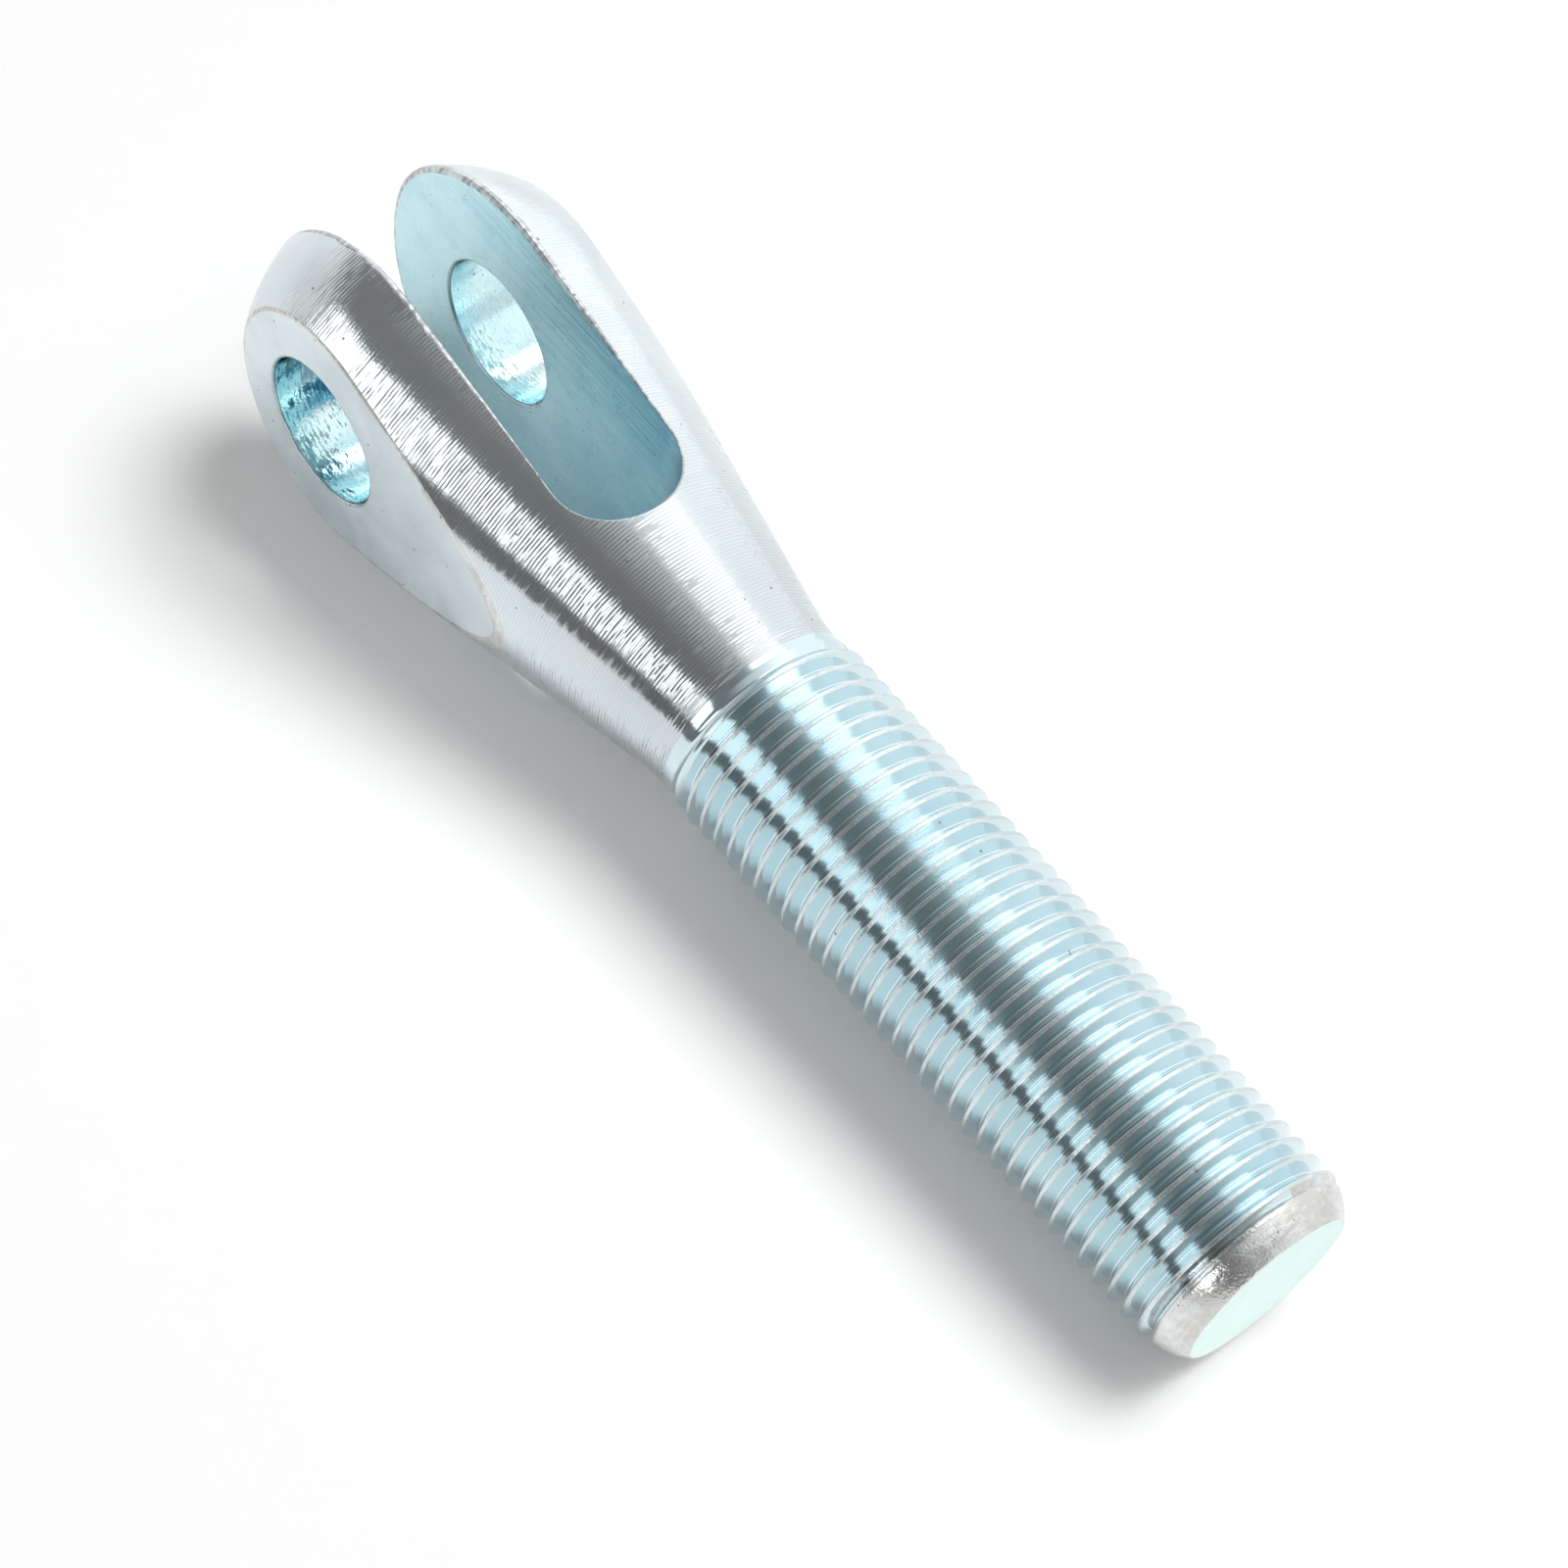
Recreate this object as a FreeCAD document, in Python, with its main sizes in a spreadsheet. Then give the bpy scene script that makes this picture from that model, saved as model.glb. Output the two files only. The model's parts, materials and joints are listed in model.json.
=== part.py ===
import FreeCAD, Part
import math
import os
import Sketcher

# A male clevis for a tension rod, turned and milled from one steel bar.
# The rod axis is X and runs from the fork's nose to the threaded end.
# The pin axis is Y, and the two axes cross at the origin. Z is up. Millimetres and degrees.

os.makedirs("parts", exist_ok=True)
doc = FreeCAD.newDocument("tension_rod_clevis")

# Driving sizes, each written once
driving_sizes = [
    ("pin_bore_diameter", 11.2, "clears a 7/16 in pin"),
    ("slot_width", 9.6, "clears a 3/8 in eye plate"),
    ("slot_depth", 22.7, "pin axis to the bottom of the slot"),
    ("across_flats", 20.5, "outside of one ear to outside of the other"),
    ("nose_radius", 13.4, "turned arc over the nose and shoulder"),
    ("nose_centre_along", 0.3, "arc centre, from the pin axis towards the thread"),
    ("nose_centre_out", 0.7, "arc centre, out from the rod axis"),
    ("cone_half_angle", 11.75, "taper from the shoulder to the neck"),
    ("neck_diameter", 15.0, "rolling blank, bare just before the thread"),
    ("neck_blend_radius", 12.0, "tool radius between the taper and the neck"),
    ("thread_start", 35.5, "pin axis to the first crest"),
    ("thread_run_in", 0.7, "length in which the first crest rises"),
    ("thread_diameter", 15.7, "over the crests of the 5/8 in thread"),
    ("shank_reach", 86.0, "pin axis to the end of the thread"),
    ("end_face_diameter", 12.7, "flat left inside the end chamfer"),
    ("end_chamfer_length", 1.5, "along the rod axis"),
    ("slot_edge_break", 0.4, "deburred edge all round the slot"),
    ("bore_edge_break", 0.2, "deburred edge at each mouth of the pin bore"),
    ("cutter_overrun", 2.0, "how far a cut runs past the stock"),
]

sizes = doc.addObject("Spreadsheet::Sheet", "Sizes")
for row, (name, value, note) in enumerate(driving_sizes, start=1):
    sizes.set(f"A{row}", name)
    sizes.set(f"B{row}", str(value))
    sizes.set(f"C{row}", note)
    sizes.setAlias(f"B{row}", name)
doc.recompute()

# How near a measured face lies to the place looked for
MATCH = 1e-6

# A point of a sketch is a geometry number and one of these places on it
START, END, CENTRE = 1, 2, 3
ROOT = (-1, 1)
X_AXIS = -1


def size(name):
    return float(getattr(sizes, name))


body = doc.addObject("PartDesign::Body", "clevis")
body.Label = "clevis"
body.Placement = FreeCAD.Placement()


def origin_plane(role):
    return next(item for item in body.Origin.OriginFeatures if item.Role == role)


def new_sketch(name, role):
    sketch = body.newObject("Sketcher::SketchObject", name)
    sketch.AttachmentSupport = [(origin_plane(role), "")]
    sketch.MapMode = "FlatFace"
    return sketch


def dimension(sketch, name, kind, *spots, value, formula):
    index = sketch.addConstraint(Sketcher.Constraint(kind, *spots, value))
    sketch.renameConstraint(index, name)
    sketch.setExpression(f"Constraints.{name}", formula)


def relate(sketch, *relations):
    for relation in relations:
        sketch.addConstraint(Sketcher.Constraint(*relation))


def point(x, y):
    return FreeCAD.Vector(x, y, 0)


def line(sketch, start, end):
    return sketch.addGeometry(Part.LineSegment(start, end))


def circle_at(centre, radius):
    return Part.Circle(centre, FreeCAD.Vector(0, 0, 1), radius)


def arc(sketch, centre, radius, first_angle, last_angle):
    return sketch.addGeometry(Part.ArcOfCircle(circle_at(centre, radius), first_angle, last_angle))


# Half of the turned section. The nose arc is tangent to the nose flat and to the taper,
# and the taper is blended into the neck.
def draw_turned_section():
    slope = math.radians(size("cone_half_angle"))
    normal = point(math.sin(slope), math.cos(slope))
    nose = size("nose_radius")
    nose_centre = point(size("nose_centre_along"), size("nose_centre_out"))
    nose_edge = nose_centre - point(nose, 0)
    shoulder = nose_centre + normal * nose

    neck = size("neck_diameter") / 2
    blend = size("neck_blend_radius")
    offset_shoulder = shoulder + normal * blend
    fall = offset_shoulder.y - neck - blend
    blend_centre = point(offset_shoulder.x + fall / math.tan(slope), neck + blend)
    cone_end = blend_centre - normal * blend
    neck_end = point(size("thread_start"), neck)

    crest = size("thread_diameter") / 2
    reach = size("shank_reach")
    crest_start = point(neck_end.x + size("thread_run_in"), crest)
    crest_end = point(reach - size("end_chamfer_length"), crest)
    end_edge = point(reach, size("end_face_diameter") / 2)

    sketch = new_sketch("turned_section", "XY_Plane")
    nose_flat = line(sketch, point(nose_edge.x, 0), nose_edge)
    dome = arc(sketch, nose_centre, nose, math.pi / 2 - slope, math.pi)
    cone = line(sketch, shoulder, cone_end)
    corner = arc(sketch, blend_centre, blend, 3 * math.pi / 2 - slope, 3 * math.pi / 2)
    bare_neck = line(sketch, point(blend_centre.x, neck), neck_end)
    run_in = line(sketch, neck_end, crest_start)
    crests = line(sketch, crest_start, crest_end)
    chamfer = line(sketch, crest_end, end_edge)
    end_face = line(sketch, end_edge, point(reach, 0))
    axis = line(sketch, point(reach, 0), point(nose_edge.x, 0))
    relate(
        sketch,
        ("Vertical", nose_flat),
        ("Tangent", nose_flat, END, dome, END),
        ("Tangent", dome, START, cone, START),
        ("Tangent", cone, END, corner, START),
        ("Tangent", corner, END, bare_neck, START),
        ("Horizontal", bare_neck),
        ("Coincident", bare_neck, END, run_in, START),
        ("Coincident", run_in, END, crests, START),
        ("Horizontal", crests),
        ("Coincident", crests, END, chamfer, START),
        ("Coincident", chamfer, END, end_face, START),
        ("Vertical", end_face),
        ("Coincident", end_face, END, axis, START),
        ("Coincident", axis, END, nose_flat, START),
        ("PointOnObject", axis, START, X_AXIS),
        ("PointOnObject", axis, END, X_AXIS),
    )
    dimension(sketch, "nose", "Radius", dome, value=nose, formula="Sizes.nose_radius")
    dimension(sketch, "nose_along", "DistanceX", *ROOT, dome, CENTRE,
              value=nose_centre.x, formula="Sizes.nose_centre_along")
    dimension(sketch, "nose_out", "DistanceY", *ROOT, dome, CENTRE,
              value=nose_centre.y, formula="Sizes.nose_centre_out")
    dimension(sketch, "taper", "Angle", cone,
              value=-slope, formula="-1 deg * Sizes.cone_half_angle")
    dimension(sketch, "blend", "Radius", corner, value=blend, formula="Sizes.neck_blend_radius")
    dimension(sketch, "neck", "DistanceY", *ROOT, bare_neck, END,
              value=neck, formula="Sizes.neck_diameter / 2")
    dimension(sketch, "thread_start", "DistanceX", *ROOT, bare_neck, END,
              value=neck_end.x, formula="Sizes.thread_start")
    dimension(sketch, "run_in", "DistanceX", run_in, START, run_in, END,
              value=crest_start.x - neck_end.x, formula="Sizes.thread_run_in")
    dimension(sketch, "crest", "DistanceY", *ROOT, crests, START,
              value=crest, formula="Sizes.thread_diameter / 2")
    dimension(sketch, "chamfer", "DistanceX", chamfer, START, chamfer, END,
              value=reach - crest_end.x, formula="Sizes.end_chamfer_length")
    dimension(sketch, "end_flat", "DistanceY", *ROOT, end_face, START,
              value=end_edge.y, formula="Sizes.end_face_diameter / 2")
    dimension(sketch, "reach", "DistanceX", *ROOT, end_face, START,
              value=reach, formula="Sizes.shank_reach")
    return sketch


def turn_blank():
    blank = body.newObject("PartDesign::Revolution", "turned_blank")
    section = draw_turned_section()
    blank.Profile = section
    blank.ReferenceAxis = (section, ["H_Axis"])
    blank.Angle = 360
    doc.recompute()


def cut_through(name, sketch):
    before = body.Shape.Volume
    pocket = body.newObject("PartDesign::Pocket", name)
    pocket.Profile = sketch
    pocket.SideType = "Symmetric"
    pocket.Type = "ThroughAll"
    doc.recompute()
    if not pocket.Shape.Volume < before:
        raise RuntimeError(f"{name} removed nothing")
    return pocket


# Both cutters start outside the nose, and the flats' cutter ends outside the shoulder
def draw_nose_side(sketch, edge):
    dimension(sketch, "nose_side", "DistanceX", edge, START, *ROOT, value=beyond_nose(),
              formula="Sizes.nose_radius - Sizes.nose_centre_along + Sizes.cutter_overrun")


def beyond_nose():
    return size("nose_radius") - size("nose_centre_along") + size("cutter_overrun")


def beyond_shoulder():
    return size("nose_radius") + size("nose_centre_out") + size("cutter_overrun")


# Outer flat of one ear, which runs out on the taper as a teardrop, and its mirror
def mill_flats():
    flat = size("across_flats") / 2
    run_out = size("thread_start")
    corners = [
        point(-beyond_nose(), flat),
        point(run_out, flat),
        point(run_out, beyond_shoulder()),
        point(-beyond_nose(), beyond_shoulder()),
    ]
    sketch = new_sketch("flat_section", "XY_Plane")
    floor, run_out_side, outside, nose_side = [
        line(sketch, start, end) for start, end in zip(corners, corners[1:] + corners[:1])
    ]
    relate(
        sketch,
        ("Horizontal", floor),
        ("Coincident", floor, END, run_out_side, START),
        ("Vertical", run_out_side),
        ("Coincident", run_out_side, END, outside, START),
        ("Horizontal", outside),
        ("Coincident", outside, END, nose_side, START),
        ("Vertical", nose_side),
        ("Coincident", nose_side, END, floor, START),
    )
    draw_nose_side(sketch, floor)
    dimension(sketch, "flat", "DistanceY", *ROOT, floor, START,
              value=flat, formula="Sizes.across_flats / 2")
    dimension(sketch, "outside", "DistanceY", *ROOT, outside, START, value=beyond_shoulder(),
              formula="Sizes.nose_radius + Sizes.nose_centre_out + Sizes.cutter_overrun")
    dimension(sketch, "run_out", "DistanceX", *ROOT, floor, END,
              value=run_out, formula="Sizes.thread_start")
    one_flat = cut_through("one_flat", sketch)

    both_flats = body.newObject("PartDesign::Mirrored", "both_flats")
    both_flats.Originals = [one_flat]
    both_flats.MirrorPlane = (origin_plane("XZ_Plane"), [""])
    body.Tip = both_flats
    doc.recompute()


# Slot between the ears, with a full radius at its bottom
def mill_slot():
    half = size("slot_width") / 2
    round_centre = point(size("slot_depth") - half, 0)
    sketch = new_sketch("slot_section", "XY_Plane")
    mouth = line(sketch, point(-beyond_nose(), half), point(-beyond_nose(), -half))
    one_wall = line(sketch, point(-beyond_nose(), -half), round_centre - point(0, half))
    round_end = arc(sketch, round_centre, half, -math.pi / 2, math.pi / 2)
    other_wall = line(sketch, round_centre + point(0, half), point(-beyond_nose(), half))
    relate(
        sketch,
        ("Vertical", mouth),
        ("Coincident", mouth, END, one_wall, START),
        ("Horizontal", one_wall),
        ("Tangent", one_wall, END, round_end, START),
        ("Tangent", round_end, END, other_wall, START),
        ("Horizontal", other_wall),
        ("Coincident", other_wall, END, mouth, START),
        ("PointOnObject", round_end, CENTRE, X_AXIS),
    )
    draw_nose_side(sketch, mouth)
    dimension(sketch, "width", "DistanceY", mouth, END, mouth, START,
              value=2 * half, formula="Sizes.slot_width")
    dimension(sketch, "depth", "DistanceX", *ROOT, round_end, CENTRE,
              value=round_centre.x, formula="Sizes.slot_depth - Sizes.slot_width / 2")
    cut_through("slot", sketch)


def drill_pin_bore():
    bore = size("pin_bore_diameter")
    sketch = new_sketch("bore_section", "XZ_Plane")
    circle = sketch.addGeometry(circle_at(point(0, 0), bore / 2))
    relate(sketch, ("Coincident", circle, CENTRE, *ROOT))
    dimension(sketch, "bore", "Diameter", circle, value=bore, formula="Sizes.pin_bore_diameter")
    cut_through("pin_bore", sketch)


def find_bore_edges(shape):
    radius = size("pin_bore_diameter") / 2
    circles = [edge for edge in shape.Edges if isinstance(edge.Curve, Part.Circle)]
    return [edge for edge in circles if abs(edge.Curve.Radius - radius) < MATCH]


def is_slot_wall(face):
    half = size("slot_width") / 2
    surface = face.Surface
    if isinstance(surface, Part.Plane):
        square_to_pin = abs(surface.Axis.y) > 1 - MATCH
        return square_to_pin and abs(abs(surface.Position.y) - half) < MATCH
    if isinstance(surface, Part.Cylinder):
        along_z = abs(surface.Axis.z) > 1 - MATCH
        return along_z and abs(surface.Radius - half) < MATCH
    return False


# A slot edge has a slot wall on one side only, with a turned surface on the other
def find_slot_edges(shape):
    wall_edges = [edge for face in shape.Faces if is_slot_wall(face) for edge in face.Edges]
    inner = find_bore_edges(shape)
    return [
        edge for edge in shape.Edges
        if sum(other.isSame(edge) for other in wall_edges) == 1
        and not any(other.isSame(edge) for other in inner)
    ]


def break_edges(name, find_edges, formula):
    base = body.Tip
    wanted = find_edges(base.Shape)
    numbers = [
        number for number, edge in enumerate(base.Shape.Edges, start=1)
        if any(other.isSame(edge) for other in wanted)
    ]
    feature = body.newObject("PartDesign::Chamfer", name)
    feature.Base = (base, [f"Edge{number}" for number in numbers])
    feature.setExpression("Size", formula)
    doc.recompute()


turn_blank()
mill_flats()
mill_slot()
drill_pin_bore()
break_edges("slot_edges", find_slot_edges, "Sizes.slot_edge_break")
break_edges("bore_edges", find_bore_edges, "Sizes.bore_edge_break")

# Nothing is written unless every feature built and the piece is one valid solid
for item in doc.Objects:
    if {"Invalid", "Error"} & set(item.State):
        raise RuntimeError(f"{item.Name}: {item.State}")
if body.Shape.isNull() or not body.Shape.isValid() or len(body.Shape.Solids) != 1:
    raise RuntimeError(f"{body.Label} is not one valid solid")
body.Shape.exportStep(f"parts/{body.Label}.step")
print(body.Label, "volume", round(body.Shape.Volume, 1), "length", round(body.Shape.BoundBox.XLength, 2))
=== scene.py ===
import json
import math
import bpy
from mathutils import Matrix, Vector, noise


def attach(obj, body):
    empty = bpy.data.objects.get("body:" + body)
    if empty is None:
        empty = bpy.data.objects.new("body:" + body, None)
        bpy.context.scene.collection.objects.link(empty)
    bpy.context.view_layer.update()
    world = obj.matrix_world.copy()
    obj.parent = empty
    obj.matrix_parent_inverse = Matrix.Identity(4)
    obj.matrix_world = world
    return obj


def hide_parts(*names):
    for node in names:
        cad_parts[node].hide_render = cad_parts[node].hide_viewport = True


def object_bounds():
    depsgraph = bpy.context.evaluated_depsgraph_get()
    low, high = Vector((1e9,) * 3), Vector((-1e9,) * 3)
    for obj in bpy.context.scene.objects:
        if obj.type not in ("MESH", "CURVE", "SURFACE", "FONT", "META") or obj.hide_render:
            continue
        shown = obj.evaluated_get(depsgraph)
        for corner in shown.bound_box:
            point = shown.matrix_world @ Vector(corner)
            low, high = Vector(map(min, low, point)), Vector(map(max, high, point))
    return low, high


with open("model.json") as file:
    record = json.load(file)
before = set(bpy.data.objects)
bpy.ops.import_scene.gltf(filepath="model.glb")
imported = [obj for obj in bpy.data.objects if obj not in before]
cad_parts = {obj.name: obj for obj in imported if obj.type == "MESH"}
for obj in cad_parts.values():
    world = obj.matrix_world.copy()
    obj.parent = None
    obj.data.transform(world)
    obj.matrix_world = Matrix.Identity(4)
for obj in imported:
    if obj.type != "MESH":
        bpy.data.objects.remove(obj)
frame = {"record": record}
cadBox = [list(corner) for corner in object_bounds()]

# The part's own frame: +X runs down the rod to the threaded end, +Y along the pin, +Z up.
# Sizes below are in millimetres and degrees, and points turn into metres as the mesh is filled.
mm = 0.001
mounts = {mount["name"]: mount for mount in frame["record"]["mounts"]}
boreRadius = mounts["pin_bore"]["dims"]["r_mm"]
flatOut = mounts["far_ear_face"]["pos_m"][1] / mm
crestRadius = mounts["threaded_shank"]["dims"]["r_mm"]
rodEnd = cadBox[1][0] / mm


def smoothStep(low, high, value):
    t = min(max((value - low) / (high - low), 0.0), 1.0)
    return t * t * (3 - 2 * t)


# Mesh that is filled patch by patch, with each point's own true normal
class SolidMesh:
    def __init__(self):
        self.points = []
        self.normals = []
        self.faces = []
        self.finishes = []
        self.found = {}

    def addPoint(self, place, normal):
        key = tuple(round(part, 4) + 0.0 for part in place)
        if key not in self.found:
            self.found[key] = len(self.points)
            self.points.append(Vector(key))
            self.normals.append(Vector(normal))
        return self.found[key]

    def addFace(self, corners, outward, finish):
        ring = [c for i, c in enumerate(corners) if c != corners[i - 1]]
        if len(set(ring)) < 3:
            return
        spots = [self.points[i] for i in ring]
        facing = (spots[1] - spots[0]).cross(spots[-1] - spots[0])
        if len(spots) == 4:
            facing = (spots[2] - spots[0]).cross(spots[3] - spots[1])
        if facing.dot(outward) < 0:
            ring.reverse()
        self.faces.append(ring)
        self.finishes.append(finish)

    # rows[i][j] = (place, normal). The patch lies in the quarter where y and z are positive.
    def addQuarterPatch(self, rows, finish):
        for ySide in (1, -1):
            for zSide in (1, -1):
                side = Vector((1, ySide, zSide))
                numbers = [[self.addPoint(p * side, n * side) for p, n in row] for row in rows]
                for i in range(len(rows) - 1):
                    for j in range(len(rows[i]) - 1):
                        corners = [numbers[i][j], numbers[i + 1][j], numbers[i + 1][j + 1], numbers[i][j + 1]]
                        outward = (rows[i][j][1] + rows[i + 1][j + 1][1]) * side
                        self.addFace(corners, outward, finish)


# Fork head: a turned blank with two flats, a slot and a cross bore
forkSizes = {
    "slotWidth": 9.6,
    "slotDepth": 22.7,  # pin axis to the bottom of the slot
    "noseRadius": 13.4,
    "noseAlong": 0.3,  # centre of the nose arc, along the rod
    "noseOut": 0.7,  # and out from the rod axis
    "taperDegrees": 11.75,
    "neckRadius": 7.5,
    "neckBlend": 12.0,
    "neckEnd": 34.8,  # where the thread's mesh takes over
    "slotBreakNose": 0.52,  # deburred edge round the nose and shoulder
    "slotBreakEnd": 0.16,  # and at the bottom of the slot
    "breakFade": (2.0, 17.0),  # it narrows between these places along the rod
    "breakWander": 0.22,  # how unevenly the edge is deburred
    # Waves of that unevenness: how many to the millimetre, their strength, and a spot in the noise
    "breakWaves": ((0.9, 1.0, 0.3, 1.7), (2.3, 0.5, 5.1, 0.4)),
    "breakSettles": 6,  # rows at each end over which they fade out
    "flatBreak": 0.12,
    "boreBreak": 0.22,
}
slope = math.radians(forkSizes["taperDegrees"])
slotHalf = forkSizes["slotWidth"] / 2
arcCentre = forkSizes["slotDepth"] - slotHalf
rimRadius = boreRadius + forkSizes["boreBreak"]


# Radius and outward normal of the turned blank at x, or of the same form set in by inset
def turned(x, inset=0.0):
    nose = forkSizes["noseRadius"] - inset
    shoulderX = forkSizes["noseAlong"] + nose * math.sin(slope)
    shoulderR = forkSizes["noseOut"] + nose * math.cos(slope)
    neck = forkSizes["neckRadius"] - inset
    blend = forkSizes["neckBlend"] + inset
    blendX = shoulderX + blend * math.sin(slope)
    blendX += (shoulderR + blend * math.cos(slope) - neck - blend) / math.tan(slope)
    if x <= shoulderX:
        along = x - forkSizes["noseAlong"]
        out = math.sqrt(max(nose * nose - along * along, 0.0))
        return forkSizes["noseOut"] + out, along / nose, out / nose
    if x <= blendX - blend * math.sin(slope):
        return shoulderR - (x - shoulderX) * math.tan(slope), math.sin(slope), math.cos(slope)
    if x <= blendX:
        out = math.sqrt(blend * blend - (x - blendX) ** 2)
        return neck + blend - out, (blendX - x) / blend, out / blend
    return neck, 0.0, 1.0


def noseXAt(radius, inset=0.0):
    nose = forkSizes["noseRadius"] - inset
    return forkSizes["noseAlong"] - math.sqrt(nose * nose - (radius - forkSizes["noseOut"]) ** 2)


def taperXAt(radius, inset=0.0):
    nose = forkSizes["noseRadius"] - inset
    shoulderX = forkSizes["noseAlong"] + nose * math.sin(slope)
    shoulderR = forkSizes["noseOut"] + nose * math.cos(slope)
    return shoulderX + (shoulderR - radius) / math.tan(slope)


def onTurned(x, angle):
    radius, along, out = turned(x)
    place = Vector((x, radius * math.sin(angle), radius * math.cos(angle)))
    return place, Vector((along, out * math.sin(angle), out * math.cos(angle)))


# Rows across the head stand at these key stations, closer together where an outline turns fast
easings = {
    "even": lambda t: t,
    "start": lambda t: t * t,
    "end": lambda t: 1 - (1 - t) ** 2,
    "both": lambda t: (1 - math.cos(math.pi * t)) / 2,
}
rowPlan = [
    (16, "both"),  # nose of the slot to the start of the flat
    (8, "start"),  # to the bore
    (36, "both"),  # across the bore
    (18, "even"),  # to the slot's round end
    (10, "end"),  # to the end of the flat
    (14, "both"),  # to the bottom of the slot
    (26, "even"),  # to the neck
]
flatFirst = rowPlan[0][0]
boreFirst = flatFirst + rowPlan[1][0]
boreLast = boreFirst + rowPlan[2][0]
arcFirst = boreLast + rowPlan[3][0]
flatLast = arcFirst + rowPlan[4][0]
slotLast = flatLast + rowPlan[5][0]


def stations(keys, first=0):
    places = [keys[0]]
    for low, high, (count, ease) in zip(keys, keys[1:], rowPlan[first:]):
        places += [low + (high - low) * easings[ease](k / count) for k in range(1, count + 1)]
    return places


def breakWidth(x):
    fade = smoothStep(*forkSizes["breakFade"], x)
    return forkSizes["slotBreakNose"] * (1 - fade) + forkSizes["slotBreakEnd"] * fade


def buildFork(solid):
    noseBreak = breakWidth(-forkSizes["noseRadius"])
    endBreak = breakWidth(forkSizes["slotDepth"])
    flatBreak = forkSizes["flatBreak"]
    flatKeys = [taperXAt(flatOut - flatBreak), taperXAt(flatOut, flatBreak)]
    outerArc = slotHalf + endBreak
    turnedX = stations([
        noseXAt(slotHalf + noseBreak), noseXAt(flatOut - flatBreak), -rimRadius, rimRadius, arcCentre,
        flatKeys[0], arcCentre + outerArc, forkSizes["neckEnd"],
    ])
    wallX = stations([
        noseXAt(slotHalf, noseBreak), noseXAt(flatOut - flatBreak), -rimRadius, rimRadius, arcCentre,
        arcCentre + (flatKeys[0] - arcCentre) * slotHalf / outerArc, arcCentre + slotHalf,
    ])
    flatX = stations([
        noseXAt(flatOut, flatBreak), -rimRadius, rimRadius, arcCentre, flatKeys[1],
    ], first=1)

    # Width of the deburred edge at each row, uneven but true at both ends
    widths = []
    settles = forkSizes["breakSettles"]
    for i, x in enumerate(turnedX[:slotLast + 1]):
        wander = 0.0
        for rate, strength, spotY, spotZ in forkSizes["breakWaves"]:
            wander += strength * noise.noise(Vector((x * rate, spotY, spotZ)))
        settled = smoothStep(0, settles, i) * smoothStep(slotLast, slotLast - settles, i)
        widths.append(breakWidth(x) * (1 + forkSizes["breakWander"] * wander * settled))

    def slotY(x, half):
        if x <= arcCentre:
            return half
        return math.sqrt(max(half * half - (x - arcCentre) ** 2, 0.0))

    def slotAngle(i):
        if i >= slotLast:
            return 0.0
        if i == 0:
            return math.pi / 2
        x = turnedX[i]
        grown = slotHalf + (widths[i] if i < arcFirst else endBreak)
        return math.asin(min(slotY(x, grown) / turned(x)[0], 1.0))

    def flatAngle(i):
        if i <= flatFirst or i >= flatLast:
            return math.pi / 2
        return math.asin(min((flatOut - flatBreak) / turned(turnedX[i])[0], 1.0))

    acrossCount = 24
    rows = []
    for i, x in enumerate(turnedX):
        near = slotAngle(i)
        far = flatAngle(i)
        rows.append([onTurned(x, near + (far - near) * k / acrossCount) for k in range(acrossCount + 1)])
    solid.addQuarterPatch(rows, "turned")

    # Rounded strip from a to b, where corner is the sharp edge that was broken
    def strip(a, b, corner, count=4):
        made = []
        for k in range(count + 1):
            t = k / count
            place = a[0] * (1 - t) ** 2 + corner * 2 * t * (1 - t) + b[0] * t * t
            made.append((place, (a[1] * (1 - t) + b[1] * t).normalized()))
        return made

    def wallTop(i):
        x = wallX[i]
        if i == slotLast:
            x = arcCentre + slotHalf
        y = slotY(x, slotHalf)
        inset = turned(x, widths[i])[0]
        height = 0.0 if i == 0 else math.sqrt(max(inset * inset - y * y, 0.0))
        inward = Vector((0, -1, 0)) if x <= arcCentre else Vector((arcCentre - x, -y, 0)).normalized()
        return Vector((x, y, height)), inward

    # Wall of the slot from its deburred edge down, and that edge
    rows = []
    walls = []
    downCount = 12
    for i in range(slotLast + 1):
        top = wallTop(i)
        cornerX = turnedX[i] if i < arcFirst else wallX[i]
        cornerY = slotY(cornerX, slotHalf)
        cornerZ = 0.0 if i == 0 else math.sqrt(max(turned(cornerX)[0] ** 2 - cornerY ** 2, 0.0))
        if i == 0:
            cornerX = noseXAt(slotHalf)
        rows.append(strip(onTurned(turnedX[i], slotAngle(i)), top, Vector((cornerX, cornerY, cornerZ))))
        low = 0.0
        if boreFirst < i < boreLast:
            low = math.sqrt(rimRadius ** 2 - wallX[i] ** 2)
        walls.append([
            (Vector((top[0].x, top[0].y, top[0].z + (low - top[0].z) * k / downCount)), top[1])
            for k in range(downCount + 1)
        ])
    solid.addQuarterPatch(rows, "edge")
    solid.addQuarterPatch(walls, "slot")

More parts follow.
